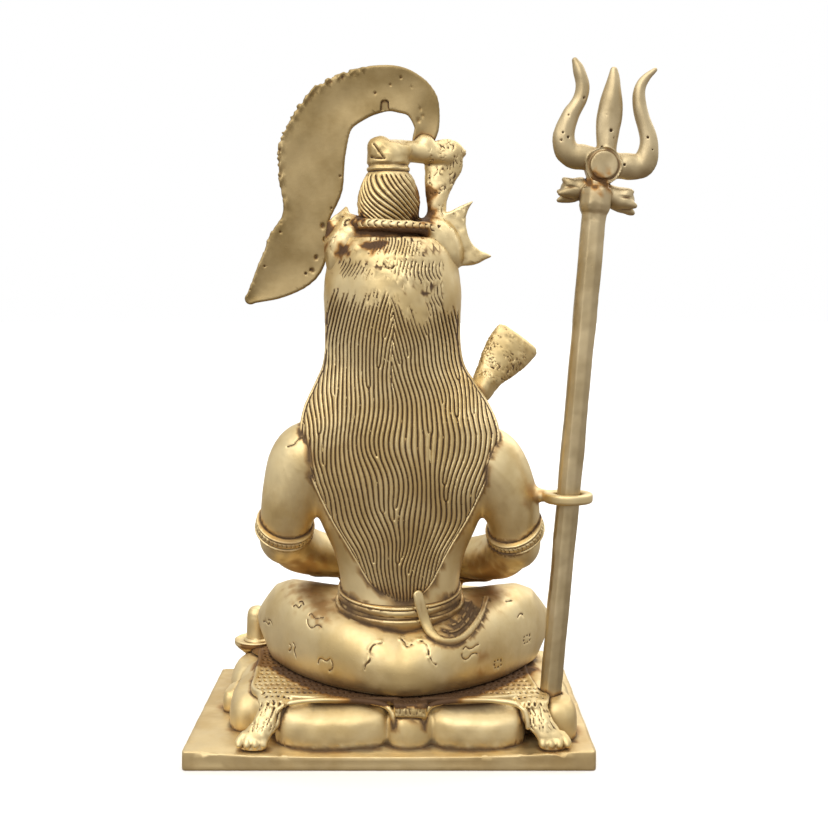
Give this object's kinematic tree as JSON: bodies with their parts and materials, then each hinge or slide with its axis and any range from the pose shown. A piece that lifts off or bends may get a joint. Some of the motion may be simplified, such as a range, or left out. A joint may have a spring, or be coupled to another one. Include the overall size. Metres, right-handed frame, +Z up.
{
  "type": "seated shiva figure",
  "caption": "Cast brass Shiva seated cross-legged on a tiger skin, with a lift-out trident, a crescent, snakes and an arching river stream behind the head.",
  "frame": {"origin": "centre of the flat underside of the base plate", "axes": "+Z up, -Y the way the figure faces, +X the figure's left; the plate's long side runs along X"},
  "size_m": [0.1935, 0.11, 0.2855],
  "materials": {
    "cast_brass": "hand-polished high spots with brown patina in the grooves"
  },
  "bodies": {
    "root": {"base": "cast_brass", "figure": "cast_brass", "river_stream": "cast_brass", "trident": "cast_brass"}
  },
  "joints": []
}
